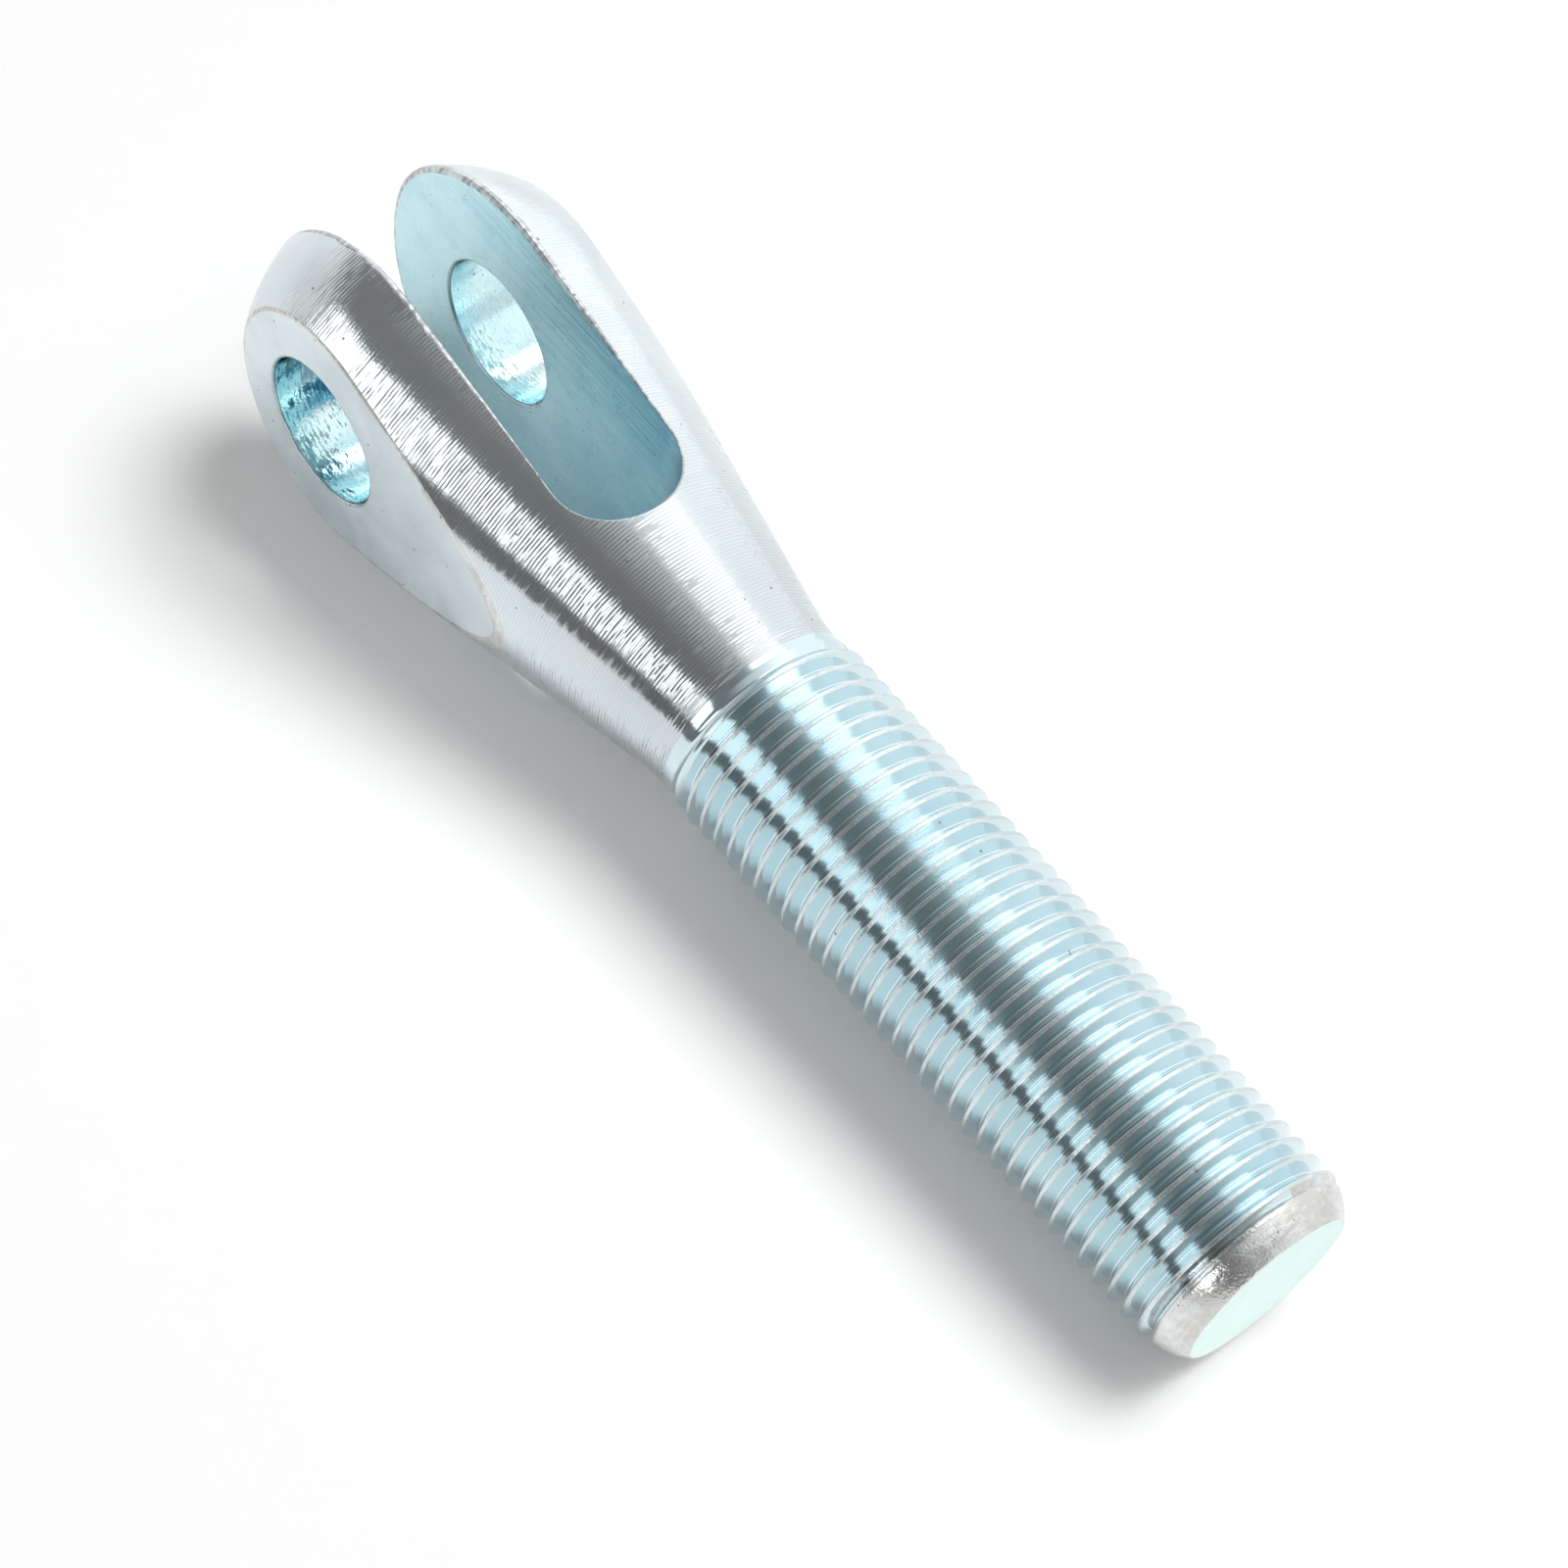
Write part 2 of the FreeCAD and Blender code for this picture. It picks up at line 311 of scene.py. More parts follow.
    # Outer flat, and its fine edge against the turned surface
    rows = []
    flats = []
    downCount = 8
    outward = Vector((0, 1, 0))
    for i in range(flatFirst, flatLast + 1):
        x = flatX[i - flatFirst]
        onEnd = i in (flatFirst, flatLast)
        inset = turned(x, flatBreak)[0]
        height = 0.0 if onEnd else math.sqrt(max(inset * inset - flatOut * flatOut, 0.0))
        top = Vector((x, flatOut, height))
        cornerX = turnedX[i]
        cornerZ = 0.0 if onEnd else math.sqrt(max(turned(cornerX)[0] ** 2 - flatOut ** 2, 0.0))
        corner = Vector((cornerX, flatOut, cornerZ))
        rows.append(strip(onTurned(cornerX, flatAngle(i)), (top, outward), corner, 3))
        low = 0.0
        if boreFirst < i < boreLast:
            low = math.sqrt(rimRadius ** 2 - x ** 2)
        flats.append([
            (Vector((x, flatOut, height + (low - height) * k / downCount)), outward)
            for k in range(downCount + 1)
        ])
    solid.addQuarterPatch(rows, "flatEdge")
    solid.addQuarterPatch(flats, "flat")

    # Bore wall with a broken edge at each mouth
    def ringPlace(spoke, radius, y):
        return spoke * radius + Vector((0, y, 0))

    inner = []
    wall = []
    outer = []
    inward = Vector((0, -1, 0))
    low = slotHalf + forkSizes["boreBreak"]
    high = flatOut - forkSizes["boreBreak"]
    wallCount = 8
    for i in range(boreFirst, boreLast + 1):
        x = wallX[i]
        spoke = Vector((x, 0, math.sqrt(max(rimRadius ** 2 - x ** 2, 0.0)))) / rimRadius
        for rows, mouthY, facing, wallY in ((inner, slotHalf, inward, low), (outer, flatOut, outward, high)):
            mouth = (ringPlace(spoke, rimRadius, mouthY), facing)
            start = (ringPlace(spoke, boreRadius, wallY), -spoke)
            rows.append(strip(mouth, start, ringPlace(spoke, boreRadius, mouthY), 3))
        wall.append([
            (ringPlace(spoke, boreRadius, low + (high - low) * k / wallCount), -spoke)
            for k in range(wallCount + 1)
        ])
    solid.addQuarterPatch(inner, "boreEdge")
    solid.addQuarterPatch(outer, "boreEdge")
    solid.addQuarterPatch(wall, "bore")
    return acrossCount * 4


solid = SolidMesh()
columnsRound = buildFork(solid)
print("fork head:", len(solid.faces), "faces")


# Rolled left-hand thread, one helical sheet wound by nodes from the profile of a single groove
threadSizes = {
    "pitch": 25.4 / 18,
    "flankDegrees": 60.0,  # between a flank and the rod axis
    "rootRound": 0.12,
    "crestRound": 0.11,
    "crestFlat": 0.12,
    "seamTilt": 22.0,  # sides of the fold that rolling leaves along the crest
    "seamDepth": 0.012,
    "firstGroove": 34.836,  # where a groove's bottom crosses the +Y side
    "runIn": 2.4,  # length in which the grooves reach their full depth
    "endRadius": 6.45,
    "chamferSlope": 0.95,  # how fast the end chamfer opens from there
    "chamferBend": 0.156,  # and how fast it turns into the crests
    "chamferLength": 2.3,  # of its own finish
    "chamferReach": 3.0,  # farther from the end than this it clears the crests
    "runOut": (1.5, 2.6),  # the grooves close between these distances from the end
    "endRound": 0.1,
    "leadTurns": 2,  # turns that start before the neck's end and are drawn up to it
    "crestDepth": 0.05,  # faces whose middle is this near to the crests have their finish
}


# From the bottom of a groove over the crest to the next bottom: along, out, and the surface's tilt
def threadProfile():
    s = threadSizes
    steep = math.radians(s["flankDegrees"])
    half = s["pitch"] / 2
    crestEdge = half - s["crestFlat"] / 2 - s["crestRound"] * math.sin(steep)
    run = crestEdge - s["rootRound"] * math.sin(steep)
    rounding = (s["rootRound"] + s["crestRound"]) * (1 - math.cos(steep))
    root = crestRadius - run * math.tan(steep) - rounding
    side = []
    for k in range(4):
        turn = steep * k / 3
        side.append((s["rootRound"] * math.sin(turn), root + s["rootRound"] * (1 - math.cos(turn)), -turn))
    for k in (2, 1, 0):
        turn = steep * k / 2
        along = half - s["crestFlat"] / 2 - s["crestRound"] * math.sin(turn)
        side.append((along, crestRadius - s["crestRound"] * (1 - math.cos(turn)), -turn))
    seam = math.radians(s["seamTilt"])
    side.append((half - s["crestFlat"] / 5, crestRadius - s["seamDepth"] / 2, seam))
    middle = [(half, crestRadius - s["seamDepth"], 0.0)]
    return side + middle + [(s["pitch"] - along, out, -turn) for along, out, turn in reversed(side)]


def addNode(tree, kind, operation=None, **values):
    node = tree.nodes.new(kind)
    if operation:
        node.operation = operation
    for name, value in values.items():
        setattr(node, name, value)
    return node


# Chains one math node onto the sockets or numbers given
def mathNode(tree, operation, *inputs, kind="ShaderNodeMath"):
    node = addNode(tree, kind, operation)
    for socket, value in zip(node.inputs, inputs):
        if isinstance(value, bpy.types.NodeSocket):
            tree.links.new(value, socket)
        else:
            socket.default_value = value
    return node.outputs[0]


def threadTree():
    tree = bpy.data.node_groups.new("Wind Thread", "GeometryNodeTree")
    face = tree.interface
    face.new_socket("Geometry", in_out="INPUT", socket_type="NodeSocketGeometry")
    for name, kind in (
        ("Profile Steps", "NodeSocketInt"), ("Turns", "NodeSocketInt"), ("Columns", "NodeSocketInt"),
        ("Pitch", "NodeSocketFloat"), ("First Groove", "NodeSocketFloat"),
        ("Start", "NodeSocketFloat"), ("End", "NodeSocketFloat"),
        ("Neck Radius", "NodeSocketFloat"), ("Run In", "NodeSocketFloat"),
        ("End Radius", "NodeSocketFloat"), ("Chamfer Slope", "NodeSocketFloat"),
        ("Chamfer Bend", "NodeSocketFloat"), ("Crest Radius", "NodeSocketFloat"),
        ("Closed From End", "NodeSocketFloat"), ("Open From End", "NodeSocketFloat"),
        ("Finish", "NodeSocketMaterial"),
    ):
        face.new_socket(name, in_out="INPUT", socket_type=kind)
    face.new_socket("Geometry", in_out="OUTPUT", socket_type="NodeSocketGeometry")
    given = tree.nodes.new("NodeGroupInput").outputs
    made = tree.nodes.new("NodeGroupOutput")
    link = tree.links.new

    rowCount = mathNode(tree, "MULTIPLY_ADD", given["Turns"], given["Profile Steps"], 1.0)
    grid = tree.nodes.new("GeometryNodeMeshGrid")
    link(rowCount, grid.inputs["Vertices X"])
    link(mathNode(tree, "ADD", given["Columns"], 1.0), grid.inputs["Vertices Y"])

    index = tree.nodes.new("GeometryNodeInputIndex").outputs[0]
    perRow = mathNode(tree, "ADD", given["Columns"], 1.0)
    row = mathNode(tree, "FLOOR", mathNode(tree, "DIVIDE", mathNode(tree, "ADD", index, 0.5), perRow))
    column = mathNode(tree, "SUBTRACT", index, mathNode(tree, "MULTIPLY", row, perRow))
    turn = mathNode(tree, "DIVIDE", mathNode(tree, "ADD", row, 0.5), given["Profile Steps"])
    turn = mathNode(tree, "FLOOR", turn)
    step = mathNode(tree, "SUBTRACT", row, mathNode(tree, "MULTIPLY", turn, given["Profile Steps"]))

    # The profile is the object's own mesh, read point by point
    sample = addNode(tree, "GeometryNodeSampleIndex", data_type="FLOAT_VECTOR", domain="POINT")
    link(given["Geometry"], sample.inputs["Geometry"])
    link(tree.nodes.new("GeometryNodeInputPosition").outputs[0], sample.inputs["Value"])
    link(mathNode(tree, "ROUND", step), sample.inputs["Index"])
    parts = tree.nodes.new("ShaderNodeSeparateXYZ")
    link(sample.outputs[0], parts.inputs[0])

    # A left-hand helix gains one pitch along the rod in each turn from +Y towards -Z
    share = mathNode(tree, "DIVIDE", column, given["Columns"])
    wound = mathNode(tree, "ADD", mathNode(tree, "ADD", turn, share), -threadSizes["leadTurns"])
    wound = mathNode(tree, "MULTIPLY", wound, given["Pitch"])
    along = mathNode(tree, "ADD", mathNode(tree, "ADD", given["First Groove"], wound), parts.outputs["X"])
    along = mathNode(tree, "MINIMUM", mathNode(tree, "MAXIMUM", along, given["Start"]), given["End"])

    # Grooves rise out of the neck, and the end chamfer cuts across the last ones
    grown = addNode(tree, "ShaderNodeMapRange", interpolation_type="SMOOTHSTEP")
    link(along, grown.inputs["Value"])
    link(given["Start"], grown.inputs["From Min"])
    link(mathNode(tree, "ADD", given["Start"], given["Run In"]), grown.inputs["From Max"])
    rise = mathNode(tree, "SUBTRACT", parts.outputs["Y"], given["Neck Radius"])
    radius = mathNode(tree, "MULTIPLY_ADD", rise, grown.outputs["Result"], given["Neck Radius"])
    left = mathNode(tree, "SUBTRACT", given["End"], along)
    left = mathNode(tree, "MINIMUM", left, threadSizes["chamferReach"])
    bent = mathNode(tree, "MULTIPLY", left, given["Chamfer Bend"])
    chord = mathNode(tree, "SUBTRACT", given["Chamfer Slope"], bent)
    chamfer = mathNode(tree, "MULTIPLY_ADD", left, chord, given["End Radius"])
    cut = mathNode(tree, "LESS_THAN", chamfer, radius)
    radius = mathNode(tree, "MINIMUM", radius, chamfer)
    fading = addNode(tree, "ShaderNodeMapRange", interpolation_type="SMOOTHSTEP")
    link(mathNode(tree, "SUBTRACT", given["End"], along), fading.inputs["Value"])
    link(given["Closed From End"], fading.inputs["From Min"])
    link(given["Open From End"], fading.inputs["From Max"])
    opened = fading.outputs["Result"]
    closed = mathNode(tree, "MINIMUM", chamfer, given["Crest Radius"])
    radius = mathNode(tree, "MULTIPLY_ADD", mathNode(tree, "SUBTRACT", radius, closed), opened, closed)
    cut = mathNode(tree, "MAXIMUM", cut, mathNode(tree, "SUBTRACT", 1.0, opened))

    angle = mathNode(tree, "MULTIPLY", share, -2 * math.pi)
    cosine = mathNode(tree, "COSINE", angle)
    sine = mathNode(tree, "SINE", angle)
    place = tree.nodes.new("ShaderNodeCombineXYZ")
    link(along, place.inputs["X"])
    link(mathNode(tree, "MULTIPLY", radius, cosine), place.inputs["Y"])
    link(mathNode(tree, "MULTIPLY", radius, sine), place.inputs["Z"])

    # Each point keeps the profile's own tilt, as the normal that it is shaded with
    tilt = mathNode(tree, "MULTIPLY", parts.outputs["Z"], grown.outputs["Result"])
    steep = mathNode(tree, "SUBTRACT", mathNode(tree, "MULTIPLY", chord, 2.0), given["Chamfer Slope"])
    coneTilt = mathNode(tree, "ARCTANGENT", steep)
    tilt = mathNode(tree, "MULTIPLY_ADD", mathNode(tree, "SUBTRACT", coneTilt, tilt), cut, tilt)
    facing = tree.nodes.new("ShaderNodeCombineXYZ")
    link(mathNode(tree, "SINE", tilt), facing.inputs["X"])
    out = mathNode(tree, "COSINE", tilt)
    link(mathNode(tree, "MULTIPLY", out, cosine), facing.inputs["Y"])
    link(mathNode(tree, "MULTIPLY", out, sine), facing.inputs["Z"])
    keep = addNode(tree, "GeometryNodeStoreNamedAttribute", data_type="FLOAT_VECTOR", domain="POINT")
    link(grid.outputs["Mesh"], keep.inputs["Geometry"])
    keep.inputs["Name"].default_value = "facing"
    link(facing.outputs[0], keep.inputs["Value"])
    move = tree.nodes.new("GeometryNodeSetPosition")
    link(keep.outputs["Geometry"], move.inputs["Geometry"])
    link(place.outputs[0], move.inputs["Position"])
    realize = tree.nodes.new("GeometryNodeRealizeInstances")
    link(move.outputs[0], realize.inputs[0])
    paint = tree.nodes.new("GeometryNodeSetMaterial")
    link(realize.outputs[0], paint.inputs["Geometry"])
    link(given["Finish"], paint.inputs["Material"])
    link(paint.outputs[0], made.inputs[0])
    return tree


def windThread(finish):
    profile = threadProfile()
    outline = bpy.data.meshes.new("threadProfile")
    outline.from_pydata(profile, [(i, i + 1) for i in range(len(profile) - 1)], [])
    winder = bpy.data.objects.new("threadWinder", outline)
    bpy.context.scene.collection.objects.link(winder)
    tree = threadTree()
    modifier = winder.modifiers.new("Thread", "NODES")
    modifier.node_group = tree
    threadEnd = rodEnd - threadSizes["endRound"]
    turns = math.ceil((threadEnd - threadSizes["firstGroove"]) / threadSizes["pitch"])
    values = {
        "Profile Steps": len(profile) - 1,
        "Turns": turns + threadSizes["leadTurns"],
        "Columns": columnsRound,
        "Pitch": threadSizes["pitch"],
        "First Groove": threadSizes["firstGroove"],
        "Start": forkSizes["neckEnd"],
        "End": threadEnd,
        "Neck Radius": forkSizes["neckRadius"],
        "Run In": threadSizes["runIn"],
        "End Radius": threadSizes["endRadius"],
        "Chamfer Slope": threadSizes["chamferSlope"],
        "Chamfer Bend": threadSizes["chamferBend"],
        "Crest Radius": crestRadius,
        "Closed From End": threadSizes["runOut"][0],
        "Open From End": threadSizes["runOut"][1],
        "Finish": finish,
    }
    for item in tree.interface.items_tree:
        if item.in_out == "INPUT" and item.name in values:
            modifier[item.identifier] = values[item.name]
    bpy.context.view_layer.update()
    evaluated = winder.evaluated_get(bpy.context.evaluated_depsgraph_get())
    wound = bpy.data.meshes.new_from_object(evaluated)
    bpy.data.objects.remove(winder)
    return wound


def addThread(solid, wound):
    facing = wound.attributes["facing"].data
    numbers = [solid.addPoint(v.co, facing[v.index].vector) for v in wound.vertices]
    for polygon in wound.polygons:
        middle = polygon.center
        outward = Vector((0, middle.y, middle.z))
        finish = "thread"
        if outward.length > crestRadius - threadSizes["crestDepth"]:
            finish = "crest"
        left = rodEnd - threadSizes["endRound"] - middle.x
        if left < threadSizes["chamferLength"]:
            finish = "chamfer"
        solid.addFace([numbers[i] for i in polygon.vertices], outward, finish)


# Flat end of the rod in rings, from the chamfer over a rounded edge to the middle
def addEndFace(solid):
    rounding = threadSizes["endRound"]
    outer = threadSizes["endRadius"]
    # x, radius, and how far the surface faces along the rod and out
    rings = [
        (rodEnd - rounding, outer, (0.5, 0.86)),
        (rodEnd - rounding * 0.3, outer - rounding * 0.4, (0.85, 0.5)),
        (rodEnd, outer - rounding * 1.4, (1.0, 0.0)),
    ]
    rings += [(rodEnd, rings[-1][1] * share, (1.0, 0.0)) for share in (0.8, 0.6, 0.4, 0.2, 0.0)]
    numbers = []
    for x, radius, (along, out) in rings:
        ring = []
        for k in range(columnsRound + 1):
            angle = 2 * math.pi * k / columnsRound
            spoke = Vector((0, math.cos(angle), math.sin(angle)))
            place = Vector((x, 0, 0)) + spoke * radius
            ring.append(solid.addPoint(place, Vector((along, 0, 0)) + spoke * out))
        numbers.append(ring)
    for i in range(len(numbers) - 1):
        finish = "chamfer" if i < 2 else "endFace"
        for k in range(columnsRound):
            corners = [numbers[i][k], numbers[i][k + 1], numbers[i + 1][k + 1], numbers[i + 1][k]]
            solid.addFace(corners, Vector((1, 0, 0)), finish)


# Blue zinc plate. Each finish gives its two tints, its gloss and the marks that its tool left. Feed
# marks lie across the axis, pitch apart, and tilt the surface by depth. Streaks lie the same way and
# tilt it by wander: their noise has "streaks" waves to the millimetre along the axis, "reach" across it.
# Between two places in x, "fade" brings the marks in, "grow" strengthens the feed marks towards the neck,
# where the tint is also darkened as painted shade, and "deeper" takes the tint from the first to the second,
# a painted shade that darkens the slot towards its bottom.
finishes = {
    "turned": {
        "tints": ((0.77, 0.83, 0.85), (0.70, 0.77, 0.80)), "roughness": 0.10, "anisotropy": 0.3,
        "axis": (1, 0, 0), "pitch": 0.25, "depth": 0.10, "streaks": 5.0, "reach": 0.8, "wander": 0.36,
        "fade": (-6.5, -2.0), "grow": (6.0, 28.0), "grain": 0.10, "pits": 0.6,
    },
    "edge": {
        "tints": ((0.66, 0.69, 0.70), (0.40, 0.42, 0.43)), "roughness": 0.32, "anisotropy": 0.0,
        "axis": (1, 0, 0), "pitch": 0.6, "depth": 0.05, "streaks": 2.2, "reach": 1.4, "wander": 0.9,
        "grain": 0.7, "pits": 2.2,
    },
    "slot": {
        # The second tint is painted shade, darker and bluer, that "deeper" brings in towards the bottom of
        # the slot
        "tints": ((0.56, 0.80, 0.85), (0.25, 0.55, 0.68)), "roughness": 0.25, "anisotropy": 0.2,
        "axis": (0, 0, 1), "pitch": 0.42, "depth": 0.012, "streaks": 5.0, "reach": 0.12, "wander": 0.22,
        "deeper": (6.0, 24.0), "grain": 0.20, "pits": 1.0,
    },
    "flatEdge": {
        "tints": ((0.74, 0.75, 0.74), (0.50, 0.48, 0.46)), "roughness": 0.28, "anisotropy": 0.0,
        "axis": (1, 0, 0), "pitch": 0.6, "depth": 0.03, "streaks": 2.0, "reach": 1.2, "wander": 0.4,
        "grain": 0.5, "pits": 2.0,
    },
    "flat": {
        "tints": ((0.79, 0.87, 0.90), (0.67, 0.76, 0.79)), "roughness": 0.36, "anisotropy": 0.0,
        "axis": (0, 0, 1), "pitch": 0.5, "depth": 0.006, "streaks": 3.0, "reach": 0.8, "wander": 0.08,
        "grain": 0.26, "pits": 0.7,
    },
    "boreEdge": {
        "tints": ((0.60, 0.70, 0.72), (0.40, 0.50, 0.52)), "roughness": 0.25, "anisotropy": 0.0,
        "axis": (0, 1, 0), "pitch": 0.4, "depth": 0.03, "streaks": 2.0, "reach": 1.2, "wander": 0.3,
        "grain": 0.3, "pits": 0.6,
    },
    "bore": {
        "tints": ((0.68, 0.85, 0.88), (0.46, 0.72, 0.78)), "roughness": 0.07, "anisotropy": 0.2,
        "axis": (0, 1, 0), "pitch": 0.36, "depth": 0.03, "streaks": 2.2, "reach": 1.4, "wander": 0.38,
        "grain": 0.35, "pits": 0.4,
    },
    "thread": {
        "tints": ((0.685, 0.805, 0.84), (0.64, 0.775, 0.82)), "roughness": 0.10, "anisotropy": 0.2,
        "axis": (1, 0, 0), "pitch": 0.3, "depth": 0.0, "streaks": 5.0, "reach": 0.15, "wander": 0.05,
        "grain": 0.05, "pits": 0.15,
    },
    "crest": {
        "tints": ((0.72, 0.79, 0.80), (0.58, 0.65, 0.66)), "roughness": 0.20, "anisotropy": 0.0,
        "axis": (1, 0, 0), "pitch": 0.3, "depth": 0.0, "streaks": 4.0, "reach": 2.2, "wander": 0.45,
        "grain": 0.3, "pits": 0.3,
    },
    "chamfer": {
        "tints": ((0.78, 0.81, 0.81), (0.60, 0.60, 0.58)), "roughness": 0.19, "anisotropy": 0.0,
        "axis": (1, 0, 0), "pitch": 0.5, "depth": 0.0, "streaks": 3.5, "reach": 1.4, "wander": 0.45,
        "grain": 0.6, "pits": 2.0,
    },
    "endFace": {
        "tints": ((0.80, 0.95, 0.91), (0.76, 0.92, 0.89)), "roughness": 0.45, "anisotropy": 0.0,
        "axis": (0, 0, 1), "pitch": 0.5, "depth": 0.004, "streaks": 2.0, "reach": 0.8, "wander": 0.06,
        "grain": 0.15, "pits": 0.2,
    },
}


# What all the finishes share. A scale is a pattern's waves to the millimetre.
plateSizes = {
    "wanderScale": 0.35,
    "wanderAngle": 5.0,  # how far the feed marks stray from even, in radians of their wave
    "unevenScales": (3.0, 0.5),  # along the tool's axis and across it
    "uneven": (0.35, 0.65, 0.3, 1.5),  # from these values of the noise to these strengths
    "neckFeed": (0.9, 3.0),  # strength of the feed marks where "grow" starts and ends
    "neckDim": (12.0, 30.0, 1.0, 0.84),  # painted shade: the turned tint darkens between these places in x, to this share, which dims the strip's highlight on the neck
    "fadedMarks": 0.08,  # share of the marks before "fade" starts
    "fadedGloss": 0.24,  # and how much rougher it is there
    "pitScale": 1.1,
    "pitShare": 0.35,  # of the cells that hold a pit, where a finish's pits are 1
    "pitRadius": (0.05, 0.14),  # in cells
    "pitDepth": 1.5,  # in heights of the grain
    "pitColour": (0.16, 0.15, 0.14),
    "pitDark": 0.7,
    "pitRough": 0.3,
    "grainScale": 5.0,
    "grainHeight": 0.05,
    "cloudScale": 0.22,
    "cloudStreaks": 1.2,  # how far the marks show in the tint
    "cloudSpread": 0.15,  # noise this far from its middle has one tint alone
    "deepSpread": 0.45,  # and where a finish has "deeper", for its painted shade towards the bottom of the slot
    "deepTint": (-0.40, 0.42),  # what "deeper" adds to the noise at its two places, painting shade towards the slot's bottom
    "glossScale": 0.6,
    "glossNoise": (0.3, 0.7),
    "glossShare": (0.85, 1.2),  # of a finish's roughness
}


def zincMaterial(name, look):
    material = bpy.data.materials.new("zinc " + name)
    material.use_nodes = True
    tree = material.node_tree
    shader = tree.nodes["Principled BSDF"]
    shader.inputs["Metallic"].default_value = 1.0
    shader.inputs["Anisotropic"].default_value = look["anisotropy"]
    link = tree.links.new
    axis = Vector(look["axis"])

    # Object coordinates in millimetres
    place = addNode(tree, "ShaderNodeVectorMath", "SCALE")
    link(tree.nodes.new("ShaderNodeTexCoord").outputs["Object"], place.inputs[0])
    place.inputs["Scale"].default_value = 1 / mm

    # The second scale, where there is one, is the noise's across the tool's axis
    def noiseAt(scale, across=None, detail=2.0):
        mapping = tree.nodes.new("ShaderNodeMapping")
        link(place.outputs[0], mapping.inputs["Vector"])
        across = scale if across is None else across
        mapping.inputs["Scale"].default_value = [scale if part else across for part in look["axis"]]
        pattern = tree.nodes.new("ShaderNodeTexNoise")
        link(mapping.outputs[0], pattern.inputs["Vector"])
        pattern.inputs["Scale"].default_value = 1.0
        pattern.inputs["Detail"].default_value = detail
        return pattern.outputs["Fac"]

    def ramp(value, low, high, toLow=0.0, toHigh=1.0):
        node = tree.nodes.new("ShaderNodeMapRange")
        link(value, node.inputs["Value"])
        for socket, number in zip(("From Min", "From Max", "To Min", "To Max"), (low, high, toLow, toHigh)):
            node.inputs[socket].default_value = number
        return node.outputs[0]

    # Tool marks: even feed marks that wander a little, and streaks among them
    spot = tree.nodes.new("ShaderNodeSeparateXYZ")
    link(place.outputs[0], spot.inputs[0])
    far = spot.outputs["XYZ"[look["axis"].index(1)]]
    phase = mathNode(tree, "MULTIPLY", far, 2 * math.pi / look["pitch"])
    wander = noiseAt(plateSizes["wanderScale"])
    phase = mathNode(tree, "MULTIPLY_ADD", wander, plateSizes["wanderAngle"], phase)
    uneven = ramp(noiseAt(*plateSizes["unevenScales"]), *plateSizes["uneven"])
    feed = mathNode(tree, "MULTIPLY", mathNode(tree, "SINE", phase), uneven)
    feed = mathNode(tree, "MULTIPLY", feed, look["depth"])
    if "grow" in look:
        grown = ramp(spot.outputs["X"], *look["grow"], *plateSizes["neckFeed"])
        feed = mathNode(tree, "MULTIPLY", feed, grown)
    streaks = noiseAt(look["streaks"], look["reach"])
    streaks = mathNode(tree, "MULTIPLY", mathNode(tree, "SUBTRACT", streaks, 0.5), look["wander"])
    tilt = mathNode(tree, "ADD", feed, streaks)
    if "fade" in look:
        faded = ramp(spot.outputs["X"], *look["fade"], plateSizes["fadedMarks"], 1.0)
        tilt = mathNode(tree, "MULTIPLY", tilt, faded)
    lean = addNode(tree, "ShaderNodeVectorMath", "SCALE")
    lean.inputs[0].default_value = axis
    link(tilt, lean.inputs["Scale"])
    normal = tree.nodes.new("ShaderNodeNewGeometry").outputs["Normal"]
    leant = mathNode(tree, "ADD", normal, lean.outputs[0], kind="ShaderNodeVectorMath")
    leant = mathNode(tree, "NORMALIZE", leant, kind="ShaderNodeVectorMath")

    # Small dark pits, a few to the square centimetre, where the cells of a pattern have their middles
    cells = tree.nodes.new("ShaderNodeTexVoronoi")
    link(place.outputs[0], cells.inputs["Vector"])
    cells.inputs["Scale"].default_value = plateSizes["pitScale"]
    chance = tree.nodes.new("ShaderNodeSeparateColor")
    link(cells.outputs["Color"], chance.inputs[0])
    bare = 1.0 - plateSizes["pitShare"] * look["pits"]
    chosen = ramp(chance.outputs["Red"], bare, bare + 0.02)
    size = ramp(chance.outputs["Green"], 0.0, 1.0, *plateSizes["pitRadius"])
    near = mathNode(tree, "LESS_THAN", cells.outputs["Distance"], size)
    pit = mathNode(tree, "MULTIPLY", chosen, near)

    # Cast-like grain under the plate, with the pits sunk in it
    grain = noiseAt(plateSizes["grainScale"], detail=3.0)
    grain = mathNode(tree, "MULTIPLY_ADD", pit, -plateSizes["pitDepth"], grain)
    bump = tree.nodes.new("ShaderNodeBump")
    bump.inputs["Strength"].default_value = look["grain"]
    bump.inputs["Distance"].default_value = plateSizes["grainHeight"] * mm
    link(grain, bump.inputs["Height"])
    link(leant, bump.inputs["Normal"])
    link(bump.outputs[0], shader.inputs["Normal"])

